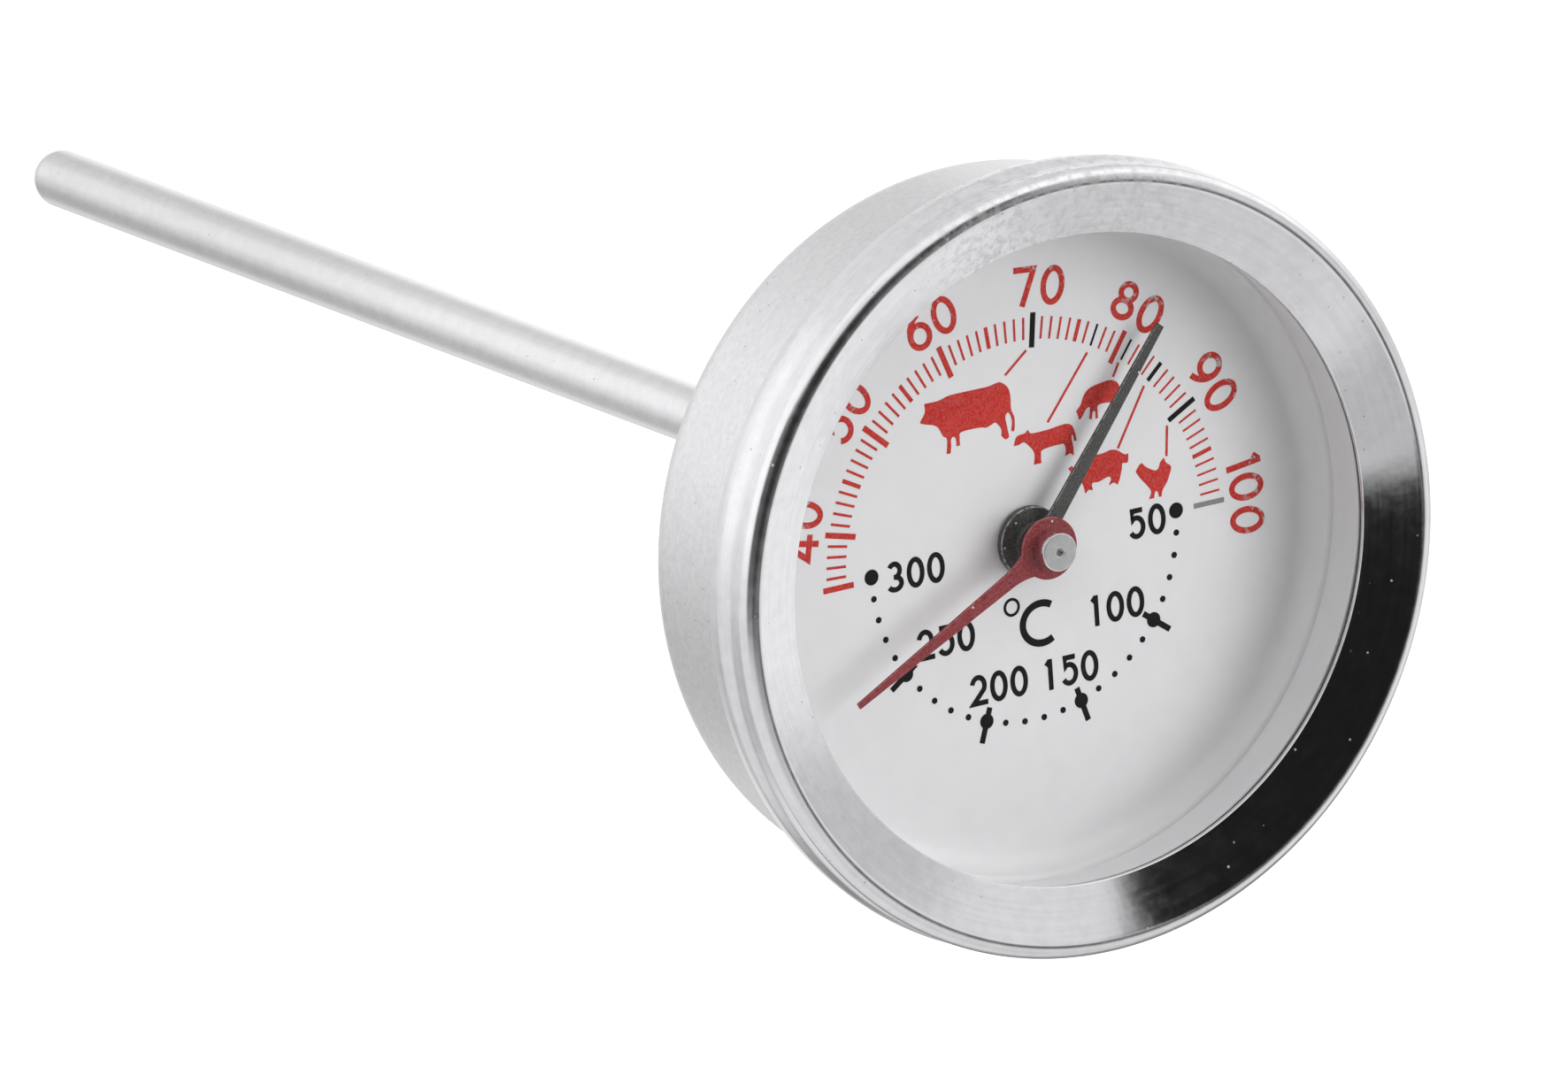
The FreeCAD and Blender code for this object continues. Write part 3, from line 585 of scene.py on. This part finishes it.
def make_light():
    world = bpy.data.worlds.new("studio")
    world.use_nodes = True
    bpy.context.scene.world = world
    tree = world.node_tree
    direction = add(tree, "TexCoord").outputs["Generated"]
    level = grey(ROOM)
    for azimuth, elevation, wide, high, soft, value in CARDS:
        where = card(tree, direction, azimuth, elevation, wide, high, soft)
        level = blend(tree, where, level, grey(value))
    seen = add(tree, "LightPath").outputs["Is Camera Ray"]
    level = blend(tree, seen, level, WHITE)
    tree.links.new(level, tree.nodes["Background"].inputs["Color"])
    for name, (azimuth, elevation, size, energy) in LAMPS.items():
        lamp = bpy.data.lights.new(name, "AREA")
        lamp.shape, lamp.size, lamp.energy = "DISK", size, energy
        lit = bpy.data.objects.new(name, lamp)
        lit.location = facing(azimuth, elevation) * LAMP_DISTANCE
        lit.rotation_mode = "QUATERNION"
        lit.rotation_quaternion = facing(azimuth, elevation).to_track_quat("Z", "Y")
        lit.visible_glossy = False
        bpy.context.scene.collection.objects.link(lit)


FLOOR_HALF, FLOOR_DROP, FLOOR_GLOW = 3.0, 30, 0.35


def make_floor():
    made, tree, shader = begin("floor_paper", Roughness=0.8)
    grain = noise(tree, places(tree), 0.05, 3.0)
    tree.links.new(blend(tree, grain, grey(0.86), grey(0.89)), shader.inputs["Base Color"])
    shader.inputs["Emission Color"].default_value = WHITE
    shader.inputs["Emission Strength"].default_value = FLOOR_GLOW
    mesh = bpy.data.meshes.new("floor")
    shape = bmesh.new()
    bmesh.ops.create_grid(shape, x_segments=2, y_segments=2, size=FLOOR_HALF)
    shape.to_mesh(mesh)
    shape.free()
    mesh.materials.append(made)
    floor = bpy.data.objects.new("floor", mesh)
    floor.location = (0, 0, -(BEZEL_RADIUS + FLOOR_DROP) * MM)
    floor.visible_glossy = floor.visible_diffuse = floor.visible_shadow = False
    bpy.context.scene.collection.objects.link(floor)


# Turned pieces ------------------------------------------------------------------------------

def turned(name, corners, body, material, replaces, segments=256):
    """Turns a closed outline of corners into a piece that stands for the CAD nodes it replaces."""
    outline = rounded(corners)
    new_piece(name, lambda shape: lathe(shape, outline, segments), body, material, replaces)


def make_case():
    turned("bezel", [
        (LIP_RADIUS, LIP_Y, 0.10),
        (BEZEL_RADIUS, CORNER_Y, 0.95),
        (WAIST_RADIUS, WAIST_Y, 2.0),
        (BEZEL_RADIUS, SKIRT_TOP_Y, 2.0),
        (SKIRT_END_RADIUS, SKIRT_END_Y, 0.3),
        (CUP_RADIUS + 0.05, SKIRT_END_Y, 0.1),
        (CUP_RADIUS + 0.05, SKIRT_END_Y - BEZEL_SKIN, 0.1),
        (SKIRT_END_RADIUS - BEZEL_SKIN, SKIRT_END_Y - BEZEL_SKIN, 0.1),
        (BEZEL_RADIUS - BEZEL_SKIN, SKIRT_TOP_Y, 1.0),
        (WAIST_RADIUS - BEZEL_SKIN, WAIST_Y, 1.0),
        (BEZEL_RADIUS - BEZEL_SKIN, CORNER_Y + CORNER_SKIN, 0.45),
        (LIP_RADIUS, LIP_Y + LIP_SKIN, 0.2),
    ], "case", BEZEL, ["bezel_ring"], 384)
    turned("cup", [
        (STEM_HOLE_RADIUS, 0, 0.1),
        (CUP_RADIUS, 0, CUP_ROUND),
        (CUP_RADIUS, FLANGE_Y, 0.2),
        (FLANGE_RADIUS, FLANGE_Y, 0.15),
        (FLANGE_RADIUS, FLANGE_Y - CUP_SKIN, 0.15),
        (CUP_RADIUS - CUP_SKIN, FLANGE_Y - CUP_SKIN, 0.3),
        (CUP_RADIUS - CUP_SKIN, -CUP_SKIN, CUP_ROUND - CUP_SKIN),
        (STEM_HOLE_RADIUS, -CUP_SKIN, 0.1),
    ], "case", CASE, ["rear_case"], 384)
    turned("window", [
        (0, GLASS_Y), (GLASS_RADIUS, GLASS_Y, 0.2), (GLASS_RADIUS, GLASS_END_Y, 0.2), (0, GLASS_END_Y),
    ], "case", GLASS, ["glass_lens"])
    turned("inner_ring", [
        (RING_BORE, GLASS_END_Y, 0.1), (BRIM_RADIUS, GLASS_END_Y, 0.1),
        (BRIM_RADIUS, BRIM_Y, 0.1), (RING_BORE, BRIM_Y),
    ], "case", RING, ["spacer_ring"])
    turned("dial", [
        (DIAL_HOLE_RADIUS, DIAL_Y, 0.05),
        (FLOOR_RADIUS, DIAL_Y, 1.4),
        (RIM_RADIUS, BRIM_Y, 0.45),
        (BRIM_RADIUS, BRIM_Y, 0.1),
        (BRIM_RADIUS, BRIM_Y + DIAL_SKIN, 0.1),
        (RIM_RADIUS + DIAL_SKIN, BRIM_Y + DIAL_SKIN, 0.1),
        (FLOOR_RADIUS + DIAL_SKIN, DIAL_Y + DIAL_SKIN, 1.8),
        (DIAL_HOLE_RADIUS, DIAL_Y + DIAL_SKIN, 0.05),
    ], "case", SILVER, ["dial_plate"])


def make_stem():
    straight_y = STEM_END_Y - STEM_RADIUS
    stem = [(STEM_BORE, STEM_FRONT_Y), (STEM_ROOT_RADIUS, STEM_FRONT_Y)]
    stem += [(STEM_ROOT_RADIUS, COLLAR_Y), (STEM_RADIUS, COLLAR_Y)]
    stem += arc(0, straight_y, STEM_RADIUS, STEM_RADIUS, 0, 90, 20)[:-1] + [(0, STEM_END_Y)]
    stem += [(0, straight_y + STEM_BORE)] + arc(0, straight_y, STEM_BORE, STEM_BORE, 90, 0, 20)[1:]
    new_piece("stem", lambda shape: lathe(shape, stem, 96), "case", STEM, ["stem_tube"])
    turned("collar", [
        (STEM_ROOT_RADIUS, STEM_FRONT_Y), (NECK_RADIUS, STEM_FRONT_Y, 0.1), (NECK_RADIUS, 0),
        (COLLAR_RADIUS, 0, 0.12), (COLLAR_RADIUS, COLLAR_Y, 0.35), (STEM_ROOT_RADIUS, COLLAR_Y),
    ], "case", STEM, ["stem_collar"], 96)


def make_hubs():
    sleeve_radius, hub_radius, boss_radius, disc_thickness = 0.85, reach("oven_hub"), 1.3, 0.55
    hub_y, hub_end_y = front("oven_hub"), reach("oven_hub", 1)
    disc_y = hub_end_y - disc_thickness
    turned("black_hub", [
        (sleeve_radius, hub_y), (boss_radius, hub_y), (boss_radius, disc_y, 0.12),
        (hub_radius, disc_y, 0.14), (hub_radius, hub_end_y, 0.08), (sleeve_radius, hub_end_y),
    ], "oven_movement", BLACK, ["oven_hub"], 128)
    bush_radius, neck_radius, rod_radius, hole_radius = reach("pointer_bush"), 0.9, 0.45, 0.28
    bush_y, bush_end_y = front("pointer_bush"), reach("pointer_bush", 1)
    shoulder_y, rod_y = front("meat_pointer"), -12.9
    turned("silver_bush", [
        (hole_radius, bush_y, 0.08), (bush_radius, bush_y, 0.10), (bush_radius, shoulder_y, 0.04),
        (neck_radius, shoulder_y), (neck_radius, bush_end_y), (rod_radius, bush_end_y),
        (rod_radius, rod_y), (hole_radius, rod_y),
    ], "meat_movement", BUSH, ["pointer_bush"], 128)


BLADE_CHAMFER = 0.035


def make_pointer(name, node, angle, ring, bore, length, root, tip, flare, body, material):
    """A flat pointer: its ring, and a blade that leaves the ring in two soft hollows."""
    near, far = front(node), reach(node, 1)
    side = math.degrees(math.asin(flare / 2 / ring))
    head = arc(0, 0, ring, ring, 90 + side, 450 - side, 72)
    start, level = head[-1], ring * 1.75
    steps = 8
    right = []
    for step in range(1, steps + 1):
        t = step / steps
        inwards = (root / 2 - start[0]) * (1 - (1 - t) ** 2)
        right.append((start[0] + inwards, start[1] + (level - start[1]) * t))
    right.append((tip / 2, length))
    outline = head + right + [(-x, z) for x, z in reversed(right)]
    loops = [turned_by(outline, angle), turned_by(oval(0, 0, bore, bore, 48), angle)]
    blade = lambda shape: prism(shape, loops, near, far, BLADE_CHAMFER)
    new_piece(name, blade, body, material, [node], 25)


# The dial's print ---------------------------------------------------------------------------

def glyph(character, wide, high, thick):
    """A digit's strokes as (points, closed), standing on its baseline, centred across."""
    half, top, low = (wide - thick) / 2, high - thick / 2, thick / 2
    middle = high / 2
    if character == "0":
        return [(oval(0, middle, half, top - middle), True)]
    if character == "1":
        return [([(half * 0.35, 0), (half * 0.35, high)], False),
                ([(-half * 0.62, high * 0.80), (half * 0.35, high * 0.955)], False)]
    if character == "2":
        bend = high * 0.27
        curve = arc(0, top - bend, half * 0.94, bend, 168, -32)
        return [(curve + [(-half * 0.86, low), (half + thick / 2, low)], False)]
    if character == "3":
        upper = high * 0.215
        lower = (top - low - 2 * upper) / 2
        return [(arc(-half * 0.1, low + lower, half, lower, 98, -152), False),
                (arc(-half * 0.1, top - upper, half * 0.82, upper, 150, -98), False)]
    if character == "4":
        bar = high * 0.27
        return [([(half * 0.42, high), (-half - thick * 0.1, bar), (half + thick / 2, bar)], False),
                ([(half * 0.42, 0), (half * 0.42, high * 0.99)], False)]
    if character == "5":
        bowl = high * 0.30
        curve = arc(-half * 0.06, low + bowl, half * 1.02, bowl, 122, -148)
        return [([(half * 0.96, top), (-half * 0.62, top), (-half * 0.72, high * 0.56)] + curve, False)]
    if character in "69":
        bowl = high * 0.29
        stem = arc(half * 1.2, low + bowl, half * 2.2, top - low - bowl, 104, 180, 16)
        drawn = [(oval(0, low + bowl, half, bowl), True), (stem, False)]
        if character == "9":
            drawn = [([(-x, high - z) for x, z in points], closed) for points, closed in drawn]
        return drawn
    if character == "7":
        return [([(-half - thick / 2, top), (half * 0.9, top), (-half * 0.35, 0)], False)]
    upper = high * 0.205
    lower = (top - low - 2 * upper) / 2
    return [(oval(0, low + lower, half, lower), True), (oval(0, top - upper, half * 0.82, upper), True)]


def write(shape, character, wide, high, thick, place, angle=0.0):
    """Puts a character on the dial: the middle of its baseline, and its turn."""
    for order, (points, closed) in enumerate(glyph(character, wide, high, thick)):
        moved = shifted(turned_by(points, angle), *place)
        stroke(shape, moved, thick, INK_Y + INK_STEP * order, INK_END_Y, closed)


PRINT_TURN, PRINT_STRETCH, PRINT_SHIFT = 0.25, (0.995, 1.005), (-0.27, -0.32)


def set_on_dial(shape):
    """The whole print sits slightly turned and off the dial's centre."""
    for vert in shape.verts:
        across, along = turned_by([(vert.co.x, vert.co.z)], PRINT_TURN)[0]
        vert.co.x = across * PRINT_STRETCH[0] + PRINT_SHIFT[0]
        vert.co.z = along * PRINT_STRETCH[1] + PRINT_SHIFT[1]


MEAT_START, MEAT_END = 35, 100
BLACK_TICKS = (70, 77, 81, 85, 90)
LONG_TICK, SHORT_TICK = (13.6, 16.02), (14.18, 15.72)


def temperature_angle(celsius):
    """Where the meat scale has a temperature: a half turn from 35 to 100 degrees."""
    return -90 + (celsius - MEAT_START) * 180 / (MEAT_END - MEAT_START)


def tick(shape, angle, inner, outer, width):
    stroke(shape, [clock(inner, angle), clock(outer, angle)], width, INK_Y, INK_END_Y)


def meat_ticks(shape, chosen):
    """The meat scale's ticks: wide at the tens, medium at the fives, and thinning out between them."""
    for celsius in chosen:
        major = celsius % 10 == 0 or celsius == MEAT_START
        width = 0.29 if celsius % 5 == 0 else 0.19 - 0.05 * (celsius - MEAT_START) / (MEAT_END - MEAT_START)
        if major:
            width = 0.41 if celsius <= 70 else 0.36
        tick(shape, temperature_angle(celsius), *(LONG_TICK if major else SHORT_TICK), width)


# Each numeral's characters and the clock angle of each.
MEAT_NUMERALS = [
    ("40", (-79.3, -71.9)), ("50", (-51.7, -44.3)), ("60", (-23.8, -16.6)), ("70", (4.7, 11.7)),
    ("80", (31.3, 38.7)), ("90", (58.8, 66.0)), ("100", (82.7, 88.3, 95.7)),
]

# Silhouettes and the lines that lead to them, drawn to a tenth of a millimetre on the dial.
# A third value marks a sharp corner.
CATTLE = [
    (-7.1, 11.3, 1), (-6.0, 11.3), (-5.0, 11.5), (-3.0, 11.5), (-2.0, 11.5), (-1.4, 11.6), (-1.0, 11.6),
    (-0.5, 11.2), (-0.3, 10.6), (-0.3, 9.6), (-0.1, 9.0), (-0.1, 8.4), (-0.2, 8.0, 1), (-0.4, 8.1, 1),
    (-0.3, 8.7), (-0.4, 9.2), (-0.6, 9.4), (-0.8, 9.1), (-0.7, 8.4), (-0.6, 7.7, 1), (-0.9, 7.6),
    (-1.2, 7.9, 1), (-1.2, 8.4), (-1.6, 8.9), (-2.0, 8.8), (-2.4, 8.7), (-2.8, 8.8), (-4.3, 8.8),
    (-4.5, 8.4), (-4.5, 7.9, 1), (-4.8, 7.9, 1), (-4.8, 8.4), (-5.0, 8.6), (-5.2, 8.4), (-5.2, 8.0),
    (-5.3, 7.5, 1), (-5.6, 7.5, 1), (-5.5, 8.5), (-5.8, 8.8), (-6.1, 9.4), (-6.5, 9.7), (-7.2, 9.9),
    (-7.5, 10.1), (-7.1, 10.7),
]
CALF = [
    (-0.3, 7.0, 1), (0.0, 7.6), (0.6, 7.7), (0.9, 7.9, 1), (1.2, 7.6), (2.5, 7.6), (3.5, 7.7), (4.0, 7.7),
    (4.4, 7.5), (4.6, 7.0), (4.7, 6.4, 1), (4.5, 6.4, 1), (4.4, 6.9), (4.3, 6.6), (4.4, 6.0),
    (4.4, 5.4, 1), (4.1, 5.6), (3.7, 5.5, 1), (3.8, 5.9), (3.7, 6.3), (3.4, 6.4), (2.0, 6.3), (1.8, 5.9),
    (1.8, 5.4, 1), (1.2, 5.4, 1), (1.3, 6.0), (1.2, 6.4), (0.8, 6.9), (0.5, 7.1), (0.1, 7.0),
]
LAMB = [
    (4.8, 8.4, 1), (5.2, 8.8), (5.5, 9.4), (6.0, 9.8), (7.0, 10.0), (7.8, 10.0), (8.3, 9.6), (8.4, 8.8),
    (8.2, 8.1), (8.0, 7.6, 1), (7.8, 7.6, 1), (7.8, 8.2), (7.5, 8.5), (6.6, 8.5), (6.5, 8.0),
    (6.5, 7.6, 1), (6.3, 7.6, 1), (6.3, 8.1), (6.1, 8.1), (6.0, 7.6, 1), (5.8, 7.7, 1), (5.9, 8.2),
    (5.9, 8.5), (5.6, 8.4), (5.3, 8.0), (5.1, 7.8, 1), (5.0, 7.8, 1), (4.9, 8.2),
]
PIG = [
    (3.9, 4.6, 1), (4.2, 4.7), (4.4, 4.5), (4.9, 4.8), (5.5, 5.1), (6.1, 5.1), (6.7, 5.1), (7.3, 5.2),
    (7.8, 5.1), (8.4, 4.7), (8.7, 4.7, 1), (8.6, 4.1), (8.2, 4.1), (8.1, 3.7), (7.9, 3.1), (7.7, 2.7, 1),
    (7.4, 2.9), (7.0, 2.8, 1), (7.2, 3.2), (7.0, 3.4), (6.2, 3.2), (5.7, 3.2), (5.7, 2.7, 1), (5.4, 2.8),
    (5.1, 2.6, 1), (5.0, 3.1), (4.8, 3.5), (4.3, 4.0), (4.0, 4.4),
]
HEN = [
    (9.2, 3.3, 1), (9.4, 3.6), (9.7, 3.8), (10.0, 3.5), (10.7, 3.1), (11.0, 3.2), (11.2, 3.6),
    (11.5, 3.8), (11.6, 3.5), (12.0, 3.1), (11.8, 2.5), (11.6, 2.1), (11.2, 1.6), (11.1, 1.2, 1),
    (10.9, 1.2, 1), (10.8, 1.6), (10.6, 1.6), (10.5, 1.2, 1), (10.1, 1.2, 1), (10.3, 1.7), (10.0, 2.2),
    (9.5, 2.8),
]
LEADERS = [
    ((1.2, 13.4), (-0.6, 12.0)), ((6.0, 12.3), (2.5, 8.1)), ((8.4, 11.1), (7.9, 10.2)),
    ((10.3, 9.1), (7.9, 5.2)), ((11.9, 6.0), (11.7, 3.9)),
]
RED_BASELINE, RED_HIGH, RED_WIDE, RED_ONE_WIDE, RED_THICK = 16.48, 2.75, 1.9, 1.35, 0.43
LEADER_THICK = 0.18


def red_print(shape):
    meat_ticks(shape, [t for t in range(MEAT_START, MEAT_END) if t not in BLACK_TICKS])
    for text, angles in MEAT_NUMERALS:
        for character, angle in zip(text, angles):
            wide = RED_ONE_WIDE if character == "1" else RED_WIDE
            write(shape, character, wide, RED_HIGH, RED_THICK, clock(RED_BASELINE, angle), angle)
    for silhouette in (CATTLE, CALF, LAMB, PIG, HEN):
        prism(shape, [flowing(silhouette)], INK_Y, INK_END_Y)
    for line in LEADERS:
        stroke(shape, line, LEADER_THICK, INK_Y, INK_END_Y)
    set_on_dial(shape)


# Upright numerals of the oven scale and the middle of each.
OVEN_NUMERALS = [
    ("300", -8.68, -0.12), ("250", -6.67, -5.3), ("200", -2.74, -9.27), ("150", 2.9, -9.32),
    ("100", 6.86, -5.65), ("50", 9.8, -0.28),
]
OVEN_START, OVEN_END, OVEN_SWEEP = 50, 300, 181
DOT_RING, END_DOT, BIG_DOT, SMALL_DOT = 12.17, 0.55, 0.53, 0.22
BAR, BAR_THICK = (11.2, 13.7), 0.42
BLACK_HIGH, BLACK_WIDE, BLACK_ONE_WIDE, BLACK_THICK, BLACK_PITCH = 2.15, 1.4, 1.0, 0.36, 1.62


def oven_scale(shape):
    """A dot every ten degrees: big at the fifties, each with a bar across it except at the two ends."""
    for celsius in range(OVEN_START, OVEN_END + 1, 10):
        angle = 90 + OVEN_SWEEP * (celsius - OVEN_START) / (OVEN_END - OVEN_START)
        at_end, big = celsius in (OVEN_START, OVEN_END), celsius % 50 == 0
        radius = END_DOT if at_end else BIG_DOT if big else SMALL_DOT
        prism(shape, [oval(*clock(DOT_RING, angle), radius, radius, 32)], INK_Y, INK_END_Y)
        if big and not at_end:
            ends = [clock(end, angle) for end in BAR]
            stroke(shape, ends, BAR_THICK, INK_Y + INK_STEP, INK_END_Y - 0.01)


def degree_sign(shape):
    """The small ring and the letter C."""
    stroke(shape, oval(-1.31, -4.07, 0.55, 0.55, 40), 0.2, INK_Y, INK_END_Y, closed=True)
    stroke(shape, arc(0.95, -5.62, 1.49, 1.38, 56, 304, 48), 0.5, INK_Y, INK_END_Y)


def black_print(shape):
    meat_ticks(shape, BLACK_TICKS)
    oven_scale(shape)
    for text, x, z in OVEN_NUMERALS:
        for index, character in enumerate(text):
            place = (x + (index - (len(text) - 1) / 2) * BLACK_PITCH, z - BLACK_HIGH / 2)
            wide = BLACK_ONE_WIDE if character == "1" else BLACK_WIDE
            write(shape, character, wide, BLACK_HIGH, BLACK_THICK, place)
    degree_sign(shape)
    set_on_dial(shape)


def grey_print(shape):
    meat_ticks(shape, [MEAT_END])
    set_on_dial(shape)


# The scene ----------------------------------------------------------------------------------

def dress_frame():
    """Gives every CAD node the look of its material slot."""
    for row in frame["record"]["subparts"]:
        node, look = frame["nodes"][row["node"]], SLOT_LOOKS[row["material_slot"]]
        node.data.materials.clear()
        node.data.materials.append(look)


make_camera()
make_floor()
make_light()
bpy.context.scene.view_settings.view_transform = "Standard"
make_case()
make_stem()
make_hubs()
make_pointer("red_pointer", "meat_pointer", angle=243.5, ring=2.16, bore=0.9, length=17.6,
             root=1.1, tip=0.42, flare=1.9, body="meat_movement", material=RED)
make_pointer("black_pointer", "oven_pointer", angle=38.8, ring=1.7, bore=0.85, length=17.04,
             root=1.15, tip=0.62, flare=1.3, body="oven_movement", material=BLACK)
new_piece("dial_print_red", red_print, "case", RED_INK)
new_piece("dial_print_black", black_print, "case", BLACK_INK)
new_piece("dial_print_grey", grey_print, "case", GREY_INK)
dress_frame()
